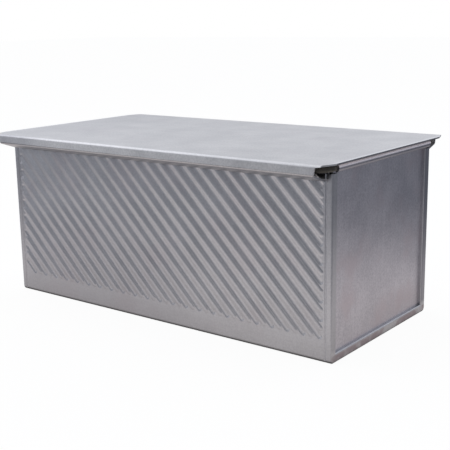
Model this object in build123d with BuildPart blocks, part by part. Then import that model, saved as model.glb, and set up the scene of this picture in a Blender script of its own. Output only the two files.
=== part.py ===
from build123d import *
import os
from math import ceil, cos, radians, sin, tan

# Pan: a U-shaped sheet whose end edges are lock-seamed round two flat end plates
pan_length = 231.0      # outside, over the two end seams
pan_width = 105.5       # outside, over the plain sheet of the long walls
rim_height = 101.0      # from the resting face to the top of the rim
sheet = 0.6             # thickness of the pan's sheet
bottom_radius = 2.4     # outside radius of the two long bottom edges
seam_width = 4.8        # raised frame round each end plate
seam_edge_radius = 0.9  # rounding of the folded edges of that frame
seam_slip = 0.2         # free space at the hidden ends of the hooked layers
crease_inset = 3.6      # upright creases beside the end seams, from the end of the pan
crease_radius = 0.8
crease_depth = 0.3

# Rim: the sheet turns outwards and curls round one closed frame of wire
wire_diameter = 3.0
wire_fit = 0.05         # radial play of the wire in the curls
wire_joint = 0.4        # butt joint where the ends of the wire meet
wire_corner_radius = 10.0
flange_reach = 11.7     # from the long wall out to the outside of its curl
rim_bend_radius = 1.2   # where a long wall turns out into its flange
curl_side_turn = 215.0  # degrees of wrap, from the top of the wire
curl_end_turn = 270.0   # degrees of wrap, from the inner side of the wire
rim_relief = 0.5        # between the end curl and the top of the seams
end_curl_inset = 2.8    # end curls stop short of the outside of the long walls
corner_relief = 0.7     # side curls stop short of the bends of the wire

# Ribs: slanting waves pressed into both long walls
rib_pitch = 6.8         # square to the ribs
rib_rise = 0.35         # height of a crest, and depth of a trough
rib_land = 0.2          # flat strip between a crest and a trough
rib_angle = 45.0        # below the horizontal, in degrees
rib_shift = 5.9         # one crest from the middle of the wall, along it
rib_floor = 12.2        # plain band under the ribs
rib_ceiling = 95.8
rib_side_margin = 4.8   # plain strip beside the ribs, from the end of the pan
rib_least_length = 3.0  # shorter stretches in the corners are left plain

# Lid: one plate, its long edges folded into channels that hook under the rim
lid_sheet = 0.8
lid_gap = 0.3           # lid plate over the top of the rim
lid_play = 0.7          # channel wall beside the side curls
lid_overhang = 4.1      # past each end of the pan
lid_bend_radius = 1.3   # outside, along the long top edges
lip_bend_radius = 1.2   # outside, along the foot of the channel wall
lid_drop = 5.6          # from the lid's top down to the foot of the channel wall
wall_lean = 0.45        # the channel wall's foot stands out past its top
lip_angle = 19.0        # slope of the lip, down towards the wall, in degrees
lip_clearance = 1.5     # lip's edge to the plain face of the long wall
corner_cut_length = 3.5
corner_cut_width = 10.0
bend_cut = 3.0          # how far the channel wall is cut back under the bend, behind the top
channel_cut = 3.6       # how far its foot is cut back
lip_cut = 0.6           # and the lip's edge behind that foot
overrun = 2.0           # cutters reach this far past what they cut

# Derived places: layers of the end seams
half_length = pan_length / 2
half_width = pan_width / 2
cover_inner = half_length - sheet
hook_inner = half_length - 2 * sheet
panel_outer = half_length - 3 * sheet
panel_inner = half_length - 4 * sheet

# Derived places: rim
curl_inner = wire_diameter / 2 + wire_fit
curl_outer = curl_inner + sheet
wire_z = rim_height - curl_outer
wire_x = panel_outer + curl_inner
wire_y = half_width + flange_reach - curl_outer
seam_top = wire_z - curl_outer - rim_relief
side_curl_end = wire_x - wire_corner_radius - corner_relief
end_curl_end = half_width - end_curl_inset

# Derived places: ribs, whose faces are arcs of rods lying inside and outside the wall
rib_half_width = (rib_pitch / 2 - rib_land) / 2
rib_radius = (rib_half_width**2 + rib_rise**2) / (2 * rib_rise)
crest_axis_y = rib_radius - rib_rise - half_width
trough_axis_y = rib_rise - rib_radius - half_width
rib_step = rib_pitch / sin(radians(rib_angle))
rib_reach_x = half_length - rib_side_margin - rib_half_width
rib_middle_z = (rib_floor + rib_ceiling) / 2
rib_reach_z = (rib_ceiling - rib_floor) / 2 - rib_half_width

# Derived places: lid
lid_top = rim_height + lid_gap + lid_sheet
lid_under = rim_height + lid_gap
lid_foot = lid_top - lid_drop
lid_half_length = half_length + lid_overhang
lid_half_width = half_width + flange_reach + lid_play + lid_sheet
lip_edge = half_width + lip_clearance
lip_low = lid_foot - (lid_half_width - lip_edge) * tan(radians(lip_angle))
channel_end = lid_half_length - corner_cut_length


def u_face(inset, top):
    """Section of the pan filled in, from that far inside its outer faces up to a height."""
    with BuildSketch(mode=Mode.PRIVATE) as face:
        with Locations((0, inset)):
            Rectangle(2 * (half_width - inset), top - inset, align=(Align.CENTER, Align.MIN))
        if inset < bottom_radius:
            fillet(face.vertices().group_by(Axis.Y)[0], bottom_radius - inset)
    return face.sketch


def u_layer(outer, inner, start, end):
    """U-shaped layer of sheet between two insets, from one place along X to another."""
    with BuildPart() as layer:
        with BuildSketch(Plane.YZ.offset(start)):
            add(u_face(outer, seam_top))
            add(u_face(inner, seam_top + overrun), mode=Mode.SUBTRACT)
        extrude(amount=end - start)
    return layer.part


def folded_face(points, radii, thickness):
    """Section of a folded sheet to the right of a line through the points."""
    with BuildSketch(mode=Mode.PRIVATE) as face:
        with BuildLine():
            FilletPolyline(*points, radius=radii)
            offset(amount=thickness, side=Side.RIGHT)
        make_face()
    return face.sketch


def curl_face(centre, start, turn):
    """Section of a sheet curled round the wire."""
    with BuildSketch(mode=Mode.PRIVATE) as face:
        with BuildLine():
            outside = CenterArc(centre, curl_outer, start, turn)
            inside = CenterArc(centre, curl_inner, start, turn)
            Line(outside @ 0, inside @ 0)
            Line(outside @ 1, inside @ 1)
        make_face()
    return face.sketch


def rib_runs(shift):
    """Middle and length of each slanting line of the pattern that lies in the ribbed field."""
    slope = radians(rib_angle)
    rise_reach = rib_reach_z / sin(slope)
    count = ceil((rib_reach_x + rib_reach_z / tan(slope)) / rib_step)
    runs = []
    for number in range(-count, count + 1):
        crossing = number * rib_step + shift
        start = max(-rise_reach, (-rib_reach_x - crossing) / cos(slope))
        end = min(rise_reach, (rib_reach_x - crossing) / cos(slope))
        if end - start >= rib_least_length:
            middle = (start + end) / 2
            place = (crossing + middle * cos(slope), rib_middle_z - middle * sin(slope))
            runs.append((place, end - start))
    return runs


def rib_rod(run, radius, axis_y):
    """Rod with ball ends along one line of the pattern."""
    (x, z), length = run
    with BuildPart() as rod:
        with BuildSketch():
            SlotCenterToCenter(length, 2 * radius)
            split(bisect_by=Plane.XZ)
        revolve(axis=Axis.X)
    return Location((x, axis_y, z), (0, rib_angle, 0)) * rod.part


def wall_slab(outside, inside, cutters):
    """Slab as large as the flat part of a long wall, between two distances from the middle."""
    with BuildPart() as slab:
        with BuildSketch(Plane.XZ.offset(outside)):
            with Locations((0, bottom_radius)):
                Rectangle(2 * panel_inner, seam_top - bottom_radius, align=(Align.CENTER, Align.MIN))
        extrude(amount=inside - outside)
        add(cutters, mode=Mode.SUBTRACT)
    return slab.part


# Raised frame at the right end: wall, cover layer, fold and the layer turned back behind it
seam_layers = [
    u_layer(0, sheet, panel_inner, half_length),
    u_layer(0, seam_width, cover_inner, half_length),
    u_layer(seam_width - sheet, seam_width, panel_outer, half_length),
    u_layer(2 * sheet + seam_slip, seam_width, panel_outer, hook_inner),
]
with BuildPart() as seam:
    add(seam_layers)
    face_edges = seam.faces().sort_by(Axis.X)[-1].edges()
    fillet(face_edges.filter_by(lambda edge: edge.center().Z < seam_top - sheet), seam_edge_radius)

# Rim of one long wall: the wall turns out into a flange that ends in a curl
rim_section = folded_face(
    [(-wire_y, rim_height), (sheet - half_width, rim_height), (sheet - half_width, seam_top)],
    rim_bend_radius,
    sheet,
)
with BuildPart() as side_rim:
    with BuildSketch(Plane.YZ):
        add(rim_section)
    extrude(amount=panel_inner, both=True)
    with BuildSketch(Plane.XY.offset(seam_top)):
        with BuildLine():
            Polyline(
                (panel_inner, -half_width - rim_bend_radius),
                (side_curl_end, -wire_y),
                (side_curl_end, -wire_y - overrun),
                (panel_inner + overrun, -wire_y - overrun),
                (panel_inner + overrun, -half_width - rim_bend_radius),
                close=True,
            )
        make_face()
        mirror(about=Plane.YZ)
    extrude(amount=rim_height - seam_top + overrun, mode=Mode.SUBTRACT)
    with BuildSketch(Plane.YZ):
        add(curl_face((-wire_y, wire_z), 90, curl_side_turn))
    extrude(amount=side_curl_end, both=True)

# Ribbed part of one long wall: a block less the press dies of its two faces
crests = rib_runs(rib_shift)
troughs = rib_runs(rib_shift + rib_step / 2)
crest_rods = [rib_rod(run, rib_radius, crest_axis_y) for run in crests]
hollow_rods = [rib_rod(run, rib_radius - sheet, crest_axis_y) for run in crests]
boss_rods = [rib_rod(run, rib_radius + sheet, trough_axis_y) for run in troughs]
groove_rods = [rib_rod(run, rib_radius, trough_axis_y) for run in troughs]
outer_die = wall_slab(half_width + 2 * overrun, half_width, crest_rods)
inner_die = wall_slab(half_width - sheet, half_width - sheet - 2 * overrun, boss_rods)
ribbed_wall = wall_slab(
    half_width + overrun,
    half_width - sheet - overrun,
    [outer_die, inner_die, *hollow_rods, *groove_rods],
)

# Body sheet: floor and both long walls in one piece, with its rims and the frames of both ends
floor_layer = u_layer(0, sheet, -panel_inner, panel_inner)
with BuildPart() as body_sheet:
    add(floor_layer)
    with BuildSketch(Plane.XY.offset(bottom_radius)):
        Rectangle(2 * panel_inner, pan_width)
    extrude(amount=seam_top - bottom_radius + overrun, mode=Mode.SUBTRACT)
    add([ribbed_wall, Rot(0, 0, 180) * ribbed_wall])
    add([side_rim.part, mirror(side_rim.part, about=Plane.XZ, mode=Mode.PRIVATE)])
    add([seam.part, mirror(seam.part, about=Plane.YZ, mode=Mode.PRIVATE)])
    crease_x = half_length - crease_inset
    crease_y = half_width + crease_radius - crease_depth
    with Locations(Location((0, 0, -overrun))):
        with GridLocations(2 * crease_x, 2 * crease_y, 2, 2):
            Cylinder(crease_radius, seam_top + overrun, align=(Align.CENTER, Align.CENTER, Align.MIN),
                     mode=Mode.SUBTRACT)
body_sheet.part.label = "body_sheet"

# End plate: panel, edges turned out and hooked into the body's frame, top edge curled round the wire
hook_layers = [
    u_layer(sheet, 2 * sheet, panel_inner, cover_inner),
    u_layer(sheet, seam_width - sheet - seam_slip, hook_inner, cover_inner),
]
with BuildPart() as end_plate_right:
    with BuildSketch(Plane.YZ.offset(panel_inner)):
        add(u_face(sheet, seam_top))
        with Locations((0, seam_top)):
            Rectangle(2 * end_curl_end, wire_z - seam_top, align=(Align.CENTER, Align.MIN))
    extrude(amount=sheet)
    add(hook_layers)
    with BuildSketch(Plane.XZ):
        add(curl_face((wire_x, wire_z), 180, -curl_end_turn))
    extrude(amount=end_curl_end, both=True)
end_plate_right.part.label = "end_plate_right"

with BuildPart() as end_plate_left:
    mirror(end_plate_right.part, about=Plane.YZ)
end_plate_left.part.label = "end_plate_left"

# Rim wire: one rod bent into a frame, its ends meeting in the middle of the far long side
with BuildPart() as rim_wire:
    with BuildLine(Plane.XY.offset(wire_z)) as wire_path:
        FilletPolyline(
            (wire_joint / 2, wire_y),
            (wire_x, wire_y),
            (wire_x, -wire_y),
            (-wire_x, -wire_y),
            (-wire_x, wire_y),
            (-wire_joint / 2, wire_y),
            radius=wire_corner_radius,
        )
    with BuildSketch(Plane(origin=wire_path.line @ 0, z_dir=wire_path.line % 0)):
        Circle(wire_diameter / 2)
    sweep()
rim_wire.part.label = "rim_wire"

# Lid: a plate with both long edges folded down and back under the rim, its corners cut off
lid_section = folded_face(
    [
        (-lip_edge, lip_low),
        (-lid_half_width, lid_foot),
        (wall_lean - lid_half_width, lid_top),
        (lid_half_width - wall_lean, lid_top),
        (lid_half_width, lid_foot),
        (lip_edge, lip_low),
    ],
    [lip_bend_radius, lid_bend_radius, lid_bend_radius, lip_bend_radius],
    lid_sheet,
)
with BuildPart() as lid:
    with BuildSketch(Plane.YZ):
        add(lid_section)
    extrude(amount=lid_half_length, both=True)
    with BuildSketch(Plane.XY.offset(lip_low - overrun)):
        with BuildLine():
            Polyline(
                (lid_half_length, lid_half_width - corner_cut_width),
                (channel_end, lid_half_width),
                (channel_end, lid_half_width + overrun),
                (lid_half_length + overrun, lid_half_width + overrun),
                (lid_half_length + overrun, lid_half_width - corner_cut_width),
                close=True,
            )
        make_face()
        mirror(about=Plane.YZ)
        mirror(about=Plane.XZ)
    extrude(amount=lid_top - lip_low + 2 * overrun, mode=Mode.SUBTRACT)
    with BuildSketch(Plane.XZ):
        with BuildLine():
            Polyline(
                (channel_end, lid_under),
                (channel_end - bend_cut, lid_top - lid_bend_radius),
                (channel_end - channel_cut, lid_foot),
                (channel_end - channel_cut, lip_low - overrun),
                (lid_half_length + overrun, lip_low - overrun),
                (lid_half_length + overrun, lid_under),
                close=True,
            )
        make_face()
        mirror(about=Plane.YZ)
    extrude(amount=lid_half_width + overrun, both=True, mode=Mode.SUBTRACT)
    with BuildSketch(Plane.XY.offset(lip_low - overrun)):
        with BuildLine():
            Polyline(
                (channel_end - channel_cut, lid_half_width),
                (channel_end - channel_cut - lip_cut, lip_edge),
                (channel_end, lip_edge),
                (channel_end, lid_half_width),
                close=True,
            )
        make_face()
        mirror(about=Plane.YZ)
        mirror(about=Plane.XZ)
    extrude(amount=lid_foot - lip_low + overrun, mode=Mode.SUBTRACT)
lid.part.label = "lid"

os.makedirs("parts", exist_ok=True)
for piece in (body_sheet, end_plate_left, end_plate_right, rim_wire, lid):
    export_step(piece.part, f"parts/{piece.part.label}.step")
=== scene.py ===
import bmesh
import bpy
from mathutils import Matrix, Vector

MM = 0.001
BLACK = (0, 0, 0, 1)
WHITE = (1, 1, 1, 1)

# The pan and its lid, for the places of wear and painted light on them, and of the painted shadow on the
# floor under them
PAN_HALF_LENGTH = 115.5 * MM
PAN_HALF_WIDTH = 52.75 * MM
PANEL_FACE = 113.7 * MM    # outer face of the end panels
SEAM_DEPTH = 0.5 * MM      # how far in from the ends the outer layer of the seams counts as such
SEAM_WIDTH = 4.8 * MM
RIB_CEILING = 95.8 * MM
CURL_FOOT = 96.4 * MM
CURL_MIDDLE = 98.85 * MM
CURL_TOP = 101.0 * MM
LID_HALF_LENGTH = 119.6 * MM
LID_BEND = 64.5 * MM       # where the lid's plate turns down, from the middle
LID_UNDER = 101.3 * MM
LID_FOOT = 96.5 * MM       # foot of the lid's channel walls

# Aluminised sheet: the lighter and darker colour of its clouds, the colours of its wear, and the colours of
# painted highlight and painted shade
SHEET_LIGHT = (0.63, 0.635, 0.655, 1)
SHEET_DARK = (0.54, 0.545, 0.565, 1)
# The lid is the pan's sheet, painted lighter to stand in for the light on it
LIT_LID_LIGHT = (0.86, 0.85, 0.83, 1)
LIT_LID_DARK = (0.70, 0.695, 0.68, 1)
END_LIGHT = (0.66, 0.645, 0.685, 1)
END_DARK = (0.49, 0.48, 0.52, 1)
TARNISH = (0.56, 0.50, 0.53, 1)
SCRATCHED = (0.8, 0.8, 0.82, 1)
# Painted highlight on the lid's long bends and end rims
PAINTED_HIGHLIGHT = (0.95, 0.95, 0.94, 1)
# Painted highlight round the front of the end curls
CURL_PAINTED_HIGHLIGHT = (0.93, 0.87, 0.90, 1)
# Darker colour: partly worn seams, the rest painted shade
WEAR_AND_PAINTED_SHADE = (0.30, 0.30, 0.33, 1)
HANDLED = (0.34, 0.28, 0.30, 1)

# Size of the marks in the sheet, and heights of the bumps
CLOUD_SIZE = 16 * MM
PATCH_SIZE = 22 * MM
GRAIN_SIZE = 1.0 * MM
WAVE_SIZE = 32 * MM
STREAK_WIDTH = 1.2 * MM
STREAK_LENGTH = 40 * MM
SCRATCH_WIDTH = 0.25 * MM
SCRATCH_LENGTH = 30 * MM
BLOTCH_SIZE = 10 * MM
GRAIN_HEIGHT = 0.004 * MM
WAVE_HEIGHT = 0.35 * MM

# Patterns of the sheet: the values that give nothing and the whole, the shares, and the seeds
CLOUD_SPAN = (0.35, 0.65)
TONE_SPAN = (0.38, 0.62)
PATCH_SPAN = (0.48, 0.72)
SCRATCH_SPAN = (0.66, 0.76)
BLOTCH_SPAN = (0.40, 0.60)
CLOUD_SHARE = 0.36
STREAK_SHARE = 0.14
GRAIN_SHARE = 0.5
SCRATCH_SHARE = 0.16
SHEET_GLOSS = (0.345, 0.395)
MATT_SHARE = 0.33          # how much rougher the matt places are
STREAK_SEED = 3
GRAIN_SEED = 5
PATCH_SEED = 7
SCRATCH_SEED = 11
WAVE_SEED = 17
BLOTCH_SEED = 14.0

# Wear and painted shade of the pan: upright seams worn, with painted shade growing from the near to the far
# wall, brown marks along the foot of the end frames, painted shade on the lower left walls, rougher rounded
# upper rib ends
SEAM_WEAR_AND_SHADE = (0.3, 0.9)
UPRIGHT_FADE = 3 * MM
STRIP_FADE = 1.5 * MM
HANDLED_SHARE = 0.8
LOW_LEFT_SHADE_HEIGHTS = (75 * MM, 25 * MM)
LOW_LEFT_SHADE_REACH = (70 * MM, -30 * MM)
LOW_LEFT_SHADE_SHARE = 0.3
RIB_END_TURN = (0.10, 0.22)
WALL_TURN = (0.80, 0.88)   # how squarely a face looks along Y to count as a long wall's
RIB_FADE = 0.4 * MM

# Painted highlight round the front of the end curls, painted shade above and below it
CURL_FRONT_LOW = (CURL_MIDDLE - 0.3 * MM, CURL_MIDDLE + 0.6 * MM)
CURL_FRONT_HIGH = (CURL_TOP - 0.4 * MM, CURL_TOP - 0.9 * MM)
CURL_PROUD = (PANEL_FACE + 0.1 * MM, PANEL_FACE + 0.4 * MM)
CURL_START = (CURL_FOOT - 0.5 * MM, CURL_FOOT)
CURL_PAINT_SHARE = 0.8

# Painted light on the lid: highlights on the long bends and end rims; painted shade on the left end on top
# and on the folded edges, on the channel feet and on the cut ends
LID_FOLD = (LID_BEND - 0.3 * MM, LID_BEND + 0.3 * MM)
LID_BEND_HEIGHTS = (LID_UNDER - 1.2 * MM, LID_UNDER)
LID_BEND_SHARE = 0.42
LID_RIM = (LID_HALF_LENGTH - 2.6 * MM, LID_HALF_LENGTH - 1.6 * MM)
LID_RIM_SHARE = 0.8
LID_SHADE_REACH = (-50 * MM, -110 * MM)
LID_SHADE_SHARES = (0.12, 0.45)
LID_FOOT_HEIGHTS = (LID_FOOT + 1.2 * MM, LID_FOOT + 0.4 * MM)
LID_FOOT_SHARE = 0.5
LID_CUT = (LID_HALF_LENGTH - 0.08 * MM, LID_HALF_LENGTH - 0.03 * MM)

# Bare wire of the rim, browned
WIRE_LIGHT = (0.14, 0.13, 0.11, 1)
WIRE_DARK = (0.045, 0.042, 0.036, 1)
WIRE_GLOSS = (0.42, 0.60)
WIRE_CLOUD_SIZE = 5 * MM
WIRE_METAL = 0.6
WIRE_SEED = 2.0

# Studio: white to the camera, and soft light from a few sides for the metal
SKY_COLOUR = (0.94, 0.965, 1.055, 1)
SKY_SHARE = 0.235
GLOWS = (
    (Vector((-1.0, -0.12, 0.3)).normalized(), 4.0, 1.60),
    (Vector((0.0, 1.0, 0.4)).normalized(), 4.0, 0.72),
)
SOFTBOX_PLACE = Vector((0.1, 0.1, 1.2))
SOFTBOX_SIDE = 0.9
SOFTBOX_POWER = 2.5

# Floor: as the metal sees it, a painted pool of light round the pan fading to a dim floor, with painted
# shadow under and beside it
FLOOR_HALF_SIZE = 6.0
LIGHT_POOL_COLOUR = (0.96, 0.90, 0.885, 1)
DIM_FLOOR_COLOUR = (0.20, 0.21, 0.24, 1)
LIGHT_POOL_MIDDLE = (-0.05, 0.0)
LIGHT_POOL_REACH = (0.31, 0.26)
LIGHT_POOL_EDGE = (0.45, 1.5)
PAPER_STRENGTH = 1.03
CAMERA_SHARE = 0.92
GLOSSY_SHARE = 0.7
CONTACT_WIDTH = 3 * MM
CONTACT_TONE = 0.15        # painted shadow: share of the pool's tone left under the pan's edge
SHADE_WIDTH = 70 * MM
SHADE_TONE = 0.70          # and beside the pan

# Camera: its place before the near corner and its axes, fitted to the straight edges in the photograph
CAMERA_PLACE = Vector((0.3334, -0.41855, 0.1696))
CAMERA_RIGHT = Vector((0.793, 0.6089, -0.0161))
CAMERA_UP = Vector((-0.1239, 0.1872, 0.9745))
FOCAL_PIXELS = 905.1
PICTURE_PIXELS = 450
SENSOR_WIDTH = 36.0


class Value:
    """An output of a node tree that takes part in arithmetic."""

    def __init__(self, tree, socket):
        self.tree = tree
        self.socket = socket

    def __add__(self, other):
        return self.tree.math("ADD", self, other)

    def __radd__(self, other):
        return self.tree.math("ADD", other, self)

    def __sub__(self, other):
        return self.tree.math("SUBTRACT", self, other)

    def __rsub__(self, other):
        return self.tree.math("SUBTRACT", other, self)

    def __mul__(self, other):
        return self.tree.math("MULTIPLY", self, other)

    def __rmul__(self, other):
        return self.tree.math("MULTIPLY", other, self)

    def __truediv__(self, other):
        return self.tree.math("DIVIDE", self, other)

    def __pow__(self, other):
        return self.tree.math("POWER", self, other)

    def __abs__(self):
        return self.tree.math("ABSOLUTE", self)


class Tree:
    """A node tree, and the ways in which nodes are added to it."""

    def __init__(self, node_tree):
        self.node_tree = node_tree
        self.node_tree.nodes.clear()

    def node(self, kind, settings, sockets, output=0):
        """Any node: its settings first, then values or links for its inputs."""
        made = self.node_tree.nodes.new(kind)
        for name, value in settings.items():
            setattr(made, name, value)
        for name, value in sockets.items():
            if isinstance(value, Value):
                self.node_tree.links.new(value.socket, made.inputs[name])
            else:
                made.inputs[name].default_value = value
        return Value(self, made.outputs[output] if made.outputs else None)

    def math(self, operation, first, second=0.0):
        return self.node("ShaderNodeMath", {"operation": operation}, {0: first, 1: second})

    def axes(self, place, names="XYZ"):
        """The coordinates of a place, or only those that are named."""
        return [self.node("ShaderNodeSeparateXYZ", {}, {0: place}, name) for name in names]

    def ray_is(self, kind):
        """One for rays of a kind, such as Camera, and nothing for the others."""
        return self.node("ShaderNodeLightPath", {}, {}, "Is " + kind + " Ray")

    def spread(self, value, low, high, start=0.0, end=1.0, kind="LINEAR"):
        """A value between two limits spread over another span, and kept in it."""
        sockets = {0: value, 1: low, 2: high, 3: start, 4: end}
        return self.node("ShaderNodeMapRange", {"interpolation_type": kind}, sockets)

    def eased(self, value, low, high, start=0.0, end=1.0):
        """The same with soft ends."""
        return self.spread(value, low, high, start, end, "SMOOTHSTEP")

    def mix(self, share, first, second):
        sockets = {0: share, 6: first, 7: second}
        return self.node("ShaderNodeMix", {"data_type": "RGBA"}, sockets, 2)


class Finish(Tree):
    """A material made of one node tree, in the object's own coordinates."""

    def __init__(self, name):
        self.material = bpy.data.materials.new(name)
        self.material.use_nodes = True
        super().__init__(self.material.node_tree)
        self.place = self.node("ShaderNodeTexCoord", {}, {}, "Object")

    def noise(self, size, detail, seed):
        """Cloudy pattern around a half, its clouds as large as the size along each axis."""
        scale = [1 / length for length in size]
        shifted = {"Vector": self.place, "Location": (seed, seed, seed), "Scale": scale}
        sockets = {"Vector": self.node("ShaderNodeMapping", {}, shifted), "Scale": 1.0, "Detail": detail}
        return self.node("ShaderNodeTexNoise", {}, sockets)

    def even_noise(self, size, detail, seed):
        return self.noise((size, size, size), detail, seed)

    def bump(self, height, distance, below=None):
        sockets = {"Height": height, "Distance": distance}
        if below:
            sockets["Normal"] = below
        return self.node("ShaderNodeBump", {}, sockets)

    def metal(self, colour, metallic, roughness, **more):
        """The finished material, with its surface's remaining inputs by name."""
        sockets = {"Base Color": colour, "Metallic": metallic, "Roughness": roughness, **more}
        return self.output(self.node("ShaderNodeBsdfPrincipled", {}, sockets))

    def output(self, shader):
        self.node("ShaderNodeOutputMaterial", {}, {"Surface": shader})
        return self.material


def rib_ends(finish):
    """Rounded upper ends of the ribs: outer faces that turn up across the slant of the ribs."""
    y, z = finish.axes(finish.place, "YZ")
    normal = finish.node("ShaderNodeNewGeometry", {}, {}, "Normal")
    turned_x, turned_y, turned_z = finish.axes(normal)
    across = finish.eased(turned_z + turned_x * turned_y, *RIB_END_TURN)
    upright = finish.eased(abs(turned_y), *WALL_TURN)
    outside = finish.eased(y * turned_y, 0.0, PAN_HALF_WIDTH / 2)
    return across * upright * outside * finish.eased(z, RIB_CEILING + RIB_FADE, RIB_CEILING)


def pan_wear_and_painted_shade(finish, colour):
    """Upright seams worn and darkened by painted shade, most at the far wall; painted shade on the lower
    left walls; rougher rib ends; brown marks along the foot of the end frames.
    """
    x, y, z = finish.axes(finish.place)
    seam = finish.eased(abs(x), PAN_HALF_LENGTH - SEAM_DEPTH, PAN_HALF_LENGTH - SEAM_DEPTH / 2)
    upright = seam * finish.eased(z, SEAM_WIDTH, SEAM_WIDTH + UPRIGHT_FADE)
    strip = seam * finish.eased(z, SEAM_WIDTH, SEAM_WIDTH - STRIP_FADE)
    # Upright seams: worn darker, plus painted shade that grows from the near to the far wall
    seam_wear_and_shade = upright * finish.spread(y, -PAN_HALF_WIDTH, PAN_HALF_WIDTH, *SEAM_WEAR_AND_SHADE)
    colour = finish.mix(seam_wear_and_shade, colour, WEAR_AND_PAINTED_SHADE)
    # Painted shade on the lower left of the walls
    low_left_shade = finish.eased(z, *LOW_LEFT_SHADE_HEIGHTS) * finish.eased(x, *LOW_LEFT_SHADE_REACH, 0.0, LOW_LEFT_SHADE_SHARE)
    colour = finish.mix(low_left_shade, colour, WEAR_AND_PAINTED_SHADE)
    blotches = finish.even_noise(BLOTCH_SIZE, 4.0, BLOTCH_SEED)
    handled = strip * finish.eased(blotches, *BLOTCH_SPAN, 0.0, HANDLED_SHARE)
    return finish.mix(handled, colour, HANDLED), rib_ends(finish)


def curl_painted_light(finish, colour):
    """Painted highlight round the curls' front, painted shade under the lid and where they meet the panel.
    """
    x, z = finish.axes(finish.place, "XZ")
    # Painted highlight round the curls' front; painted shade above and below it, where the curl stands out
    # of the panel
    curl_highlight = finish.eased(z, *CURL_FRONT_LOW) * finish.eased(z, *CURL_FRONT_HIGH)
    proud = finish.eased(abs(x), *CURL_PROUD) * finish.eased(z, *CURL_START)
    colour = finish.mix(proud * (1.0 - curl_highlight) * CURL_PAINT_SHARE, colour, WEAR_AND_PAINTED_SHADE)
    return finish.mix(proud * curl_highlight * CURL_PAINT_SHARE, colour, CURL_PAINTED_HIGHLIGHT), 0.0


def lid_painted_light(finish, colour):
    """Painted highlights on the long bends, growing to the right, and on the end rims; painted shade on the
    left end, the cut ends and the channel feet; rougher cut ends.
    """
    x, y, z = finish.axes(finish.place)
    # Painted highlight along the long bends, stronger to the right
    bend = finish.eased(abs(y), *LID_FOLD) * finish.eased(z, *LID_BEND_HEIGHTS)
    bend = bend * finish.spread(x, -LID_HALF_LENGTH, LID_HALF_LENGTH / 2, 0.0, LID_BEND_SHARE)
    # Painted highlight along the end rims
    rim = finish.eased(abs(x), *LID_RIM) * LID_RIM_SHARE
    colour = finish.mix(finish.math("MAXIMUM", bend, rim), colour, PAINTED_HIGHLIGHT)
    # Painted shade on the lid's left end, most on the folded edges
    left_end = finish.eased(abs(y), *LID_FOLD, *LID_SHADE_SHARES) * finish.eased(x, *LID_SHADE_REACH)
    colour = finish.mix(left_end, colour, WEAR_AND_PAINTED_SHADE)
    # Painted shade on the channel feet
    colour = finish.mix(finish.eased(z, *LID_FOOT_HEIGHTS) * LID_FOOT_SHARE, colour, WEAR_AND_PAINTED_SHADE)
    # Painted shade on the cut ends, which are also rougher
    cut = finish.eased(abs(x), *LID_CUT)
    return finish.mix(cut, colour, WEAR_AND_PAINTED_SHADE), cut


def sheet_finish(name, light, dark, rolling, seed, tarnish, wear_and_painted_light):
    """Dull rolled sheet: cloudy tone, streaks along the rolling, tarnish, scratches, grain and waviness,
    with the wear and painted light given.
    """
    finish = Finish(name)
    streak_size = [STREAK_LENGTH if axis == rolling else STREAK_WIDTH for axis in "XYZ"]
    scratch_size = [SCRATCH_LENGTH if axis == rolling else SCRATCH_WIDTH for axis in "XYZ"]
    clouds = finish.even_noise(CLOUD_SIZE, 4.0, seed)
    streaks = finish.noise(streak_size, 2.0, seed + STREAK_SEED)
    grain = finish.even_noise(GRAIN_SIZE, 2.0, seed + GRAIN_SEED)
    tone = clouds * CLOUD_SHARE + streaks * STREAK_SHARE + grain * GRAIN_SHARE
    colour = finish.mix(finish.spread(tone, *TONE_SPAN), dark, light)
    patches = finish.even_noise(PATCH_SIZE, 3.0, seed + PATCH_SEED)
    colour = finish.mix(finish.eased(patches, *PATCH_SPAN, 0.0, tarnish), colour, TARNISH)
    scratches = finish.noise(scratch_size, 1.0, seed + SCRATCH_SEED)
    colour = finish.mix(finish.spread(scratches, *SCRATCH_SPAN, 0.0, SCRATCH_SHARE), colour, SCRATCHED)
    colour, matt = wear_and_painted_light(finish, colour)
    gloss = finish.spread(clouds, *CLOUD_SPAN, *SHEET_GLOSS) + MATT_SHARE * matt
    waves = finish.even_noise(WAVE_SIZE, 2.0, seed + WAVE_SEED)
    bump = finish.bump(grain, GRAIN_HEIGHT, finish.bump(waves, WAVE_HEIGHT))
    return finish.metal(colour, 1.0, gloss, Normal=bump)


def wire_finish():
    """Drawn wire, browned by the oven."""
    finish = Finish("rim_wire_steel")
    clouds = finish.even_noise(WIRE_CLOUD_SIZE, 4.0, WIRE_SEED)
    colour = finish.mix(finish.spread(clouds, *CLOUD_SPAN), WIRE_DARK, WIRE_LIGHT)
    return finish.metal(colour, WIRE_METAL, finish.spread(clouds, *CLOUD_SPAN, *WIRE_GLOSS))


def dress(name, material):
    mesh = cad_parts[name].data
    mesh.materials.clear()
    mesh.materials.append(material)


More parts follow.
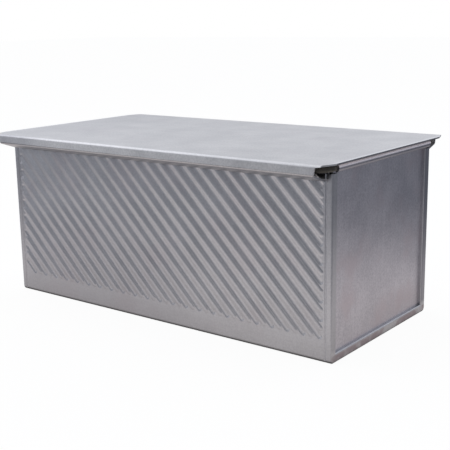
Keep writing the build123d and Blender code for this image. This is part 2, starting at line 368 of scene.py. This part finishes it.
def floor_with_painted_light():
    """White to the camera; to the metal and to diffuse rays a painted pool of light round the pan fading to
    a dim floor, with painted shadow beside and under the pan.
    """
    finish = Finish("floor_painted_light_pool")
    x, y = finish.axes(finish.place, "XY")
    camera = finish.ray_is("Camera")
    glossy = finish.ray_is("Glossy")
    transmission = finish.ray_is("Transmission")
    across = (x - LIGHT_POOL_MIDDLE[0]) / LIGHT_POOL_REACH[0]
    along = (y - LIGHT_POOL_MIDDLE[1]) / LIGHT_POOL_REACH[1]
    away = finish.math("SQRT", across * across + along * along)
    # Painted pool of light round the pan, fading to a dim floor further away
    colour = finish.mix(finish.eased(away, *LIGHT_POOL_EDGE), LIGHT_POOL_COLOUR, DIM_FLOOR_COLOUR)
    # Painted shadow beside the pan and under its edge
    beside = finish.math("MAXIMUM", abs(x) - PAN_HALF_LENGTH, abs(y) - PAN_HALF_WIDTH)
    shade = finish.eased(beside, 0.0, SHADE_WIDTH, SHADE_TONE, 1.0)
    shade = shade * finish.eased(beside, -CONTACT_WIDTH / 3, CONTACT_WIDTH, CONTACT_TONE, 1.0)
    colour = finish.mix(shade, BLACK, colour)
    colour = finish.mix(camera, colour, WHITE)
    share = (camera + transmission) * CAMERA_SHARE + glossy * GLOSSY_SHARE
    matt = finish.node("ShaderNodeBsdfDiffuse", {}, {"Color": colour})
    white = finish.node("ShaderNodeEmission", {}, {"Color": colour, "Strength": PAPER_STRENGTH})
    return finish.output(finish.node("ShaderNodeMixShader", {}, {0: share, 1: matt, 2: white}))


def lay_floor():
    shape = bmesh.new()
    bmesh.ops.create_grid(shape, x_segments=1, y_segments=1, size=FLOOR_HALF_SIZE)
    mesh = bpy.data.meshes.new("floor")
    shape.to_mesh(mesh)
    shape.free()
    mesh.materials.append(floor_with_painted_light())
    floor = bpy.data.objects.new("floor", mesh)
    bpy.context.scene.collection.objects.link(floor)


def light_surroundings():
    """World: white to the camera, dimmer to the metal, with a few broad glows."""
    world = bpy.data.worlds.new("studio")
    world.use_nodes = True
    bpy.context.scene.world = world
    tree = Tree(world.node_tree)
    direction = tree.node("ShaderNodeTexCoord", {}, {}, "Generated")
    camera = tree.ray_is("Camera")
    transmission = tree.ray_is("Transmission")
    glow = SKY_SHARE
    for side, narrowness, brightness in GLOWS:
        settings = {"operation": "DOT_PRODUCT"}
        facing = tree.node("ShaderNodeVectorMath", settings, {0: direction, 1: side}, "Value")
        glow = glow + tree.math("MAXIMUM", facing, 0.0) ** narrowness * brightness
    plain = tree.math("MAXIMUM", camera, transmission)
    strength = plain + (1.0 - plain) * glow
    colour = tree.mix(plain, SKY_COLOUR, WHITE)
    background = tree.node("ShaderNodeBackground", {}, {"Color": colour, "Strength": strength})
    tree.node("ShaderNodeOutputWorld", {}, {"Surface": background})


def hang_softbox():
    lamp = bpy.data.lights.new("overhead_softbox", "AREA")
    lamp.size = SOFTBOX_SIDE
    lamp.energy = SOFTBOX_POWER
    softbox = bpy.data.objects.new("overhead_softbox", lamp)
    turn = SOFTBOX_PLACE.to_track_quat("Z", "Y")
    softbox.matrix_world = Matrix.LocRotScale(SOFTBOX_PLACE, turn, None)
    bpy.context.scene.collection.objects.link(softbox)


def set_up_camera():
    back = CAMERA_RIGHT.cross(CAMERA_UP).normalized()
    up = back.cross(CAMERA_RIGHT).normalized()
    right = up.cross(back)
    turn = Matrix((right, up, back)).transposed().to_quaternion()
    lens = bpy.data.cameras.new("photo_camera")
    lens.sensor_width = SENSOR_WIDTH
    lens.lens = FOCAL_PIXELS / PICTURE_PIXELS * SENSOR_WIDTH
    camera = bpy.data.objects.new("photo_camera", lens)
    camera.matrix_world = Matrix.LocRotScale(CAMERA_PLACE, turn, None)
    bpy.context.scene.collection.objects.link(camera)
    bpy.context.scene.camera = camera


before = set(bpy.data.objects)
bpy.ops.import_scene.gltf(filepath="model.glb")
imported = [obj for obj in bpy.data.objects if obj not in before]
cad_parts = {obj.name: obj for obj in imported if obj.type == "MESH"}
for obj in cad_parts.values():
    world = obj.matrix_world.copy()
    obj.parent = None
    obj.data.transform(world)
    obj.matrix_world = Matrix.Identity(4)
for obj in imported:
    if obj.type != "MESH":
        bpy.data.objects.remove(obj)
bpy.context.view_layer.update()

body_finish = sheet_finish(
    "pan_sheet", SHEET_LIGHT, SHEET_DARK, rolling="X", seed=1.0, tarnish=0.2, wear_and_painted_light=pan_wear_and_painted_shade
)
dress("body_sheet", body_finish)
left_finish = sheet_finish(
    "left_end_sheet", END_LIGHT, END_DARK, rolling="Z", seed=5.0, tarnish=0.6, wear_and_painted_light=curl_painted_light
)
dress("end_plate_left", left_finish)
right_finish = sheet_finish(
    "right_end_sheet", END_LIGHT, END_DARK, rolling="Z", seed=9.0, tarnish=0.6, wear_and_painted_light=curl_painted_light
)
dress("end_plate_right", right_finish)
dress("rim_wire", wire_finish())
lid_finish = sheet_finish(
    "lid_sheet", LIT_LID_LIGHT, LIT_LID_DARK, rolling="X", seed=13.0, tarnish=0.1, wear_and_painted_light=lid_painted_light
)
dress("lid", lid_finish)

lay_floor()
light_surroundings()
hang_softbox()
set_up_camera()
bpy.context.scene.view_settings.view_transform = "Standard"
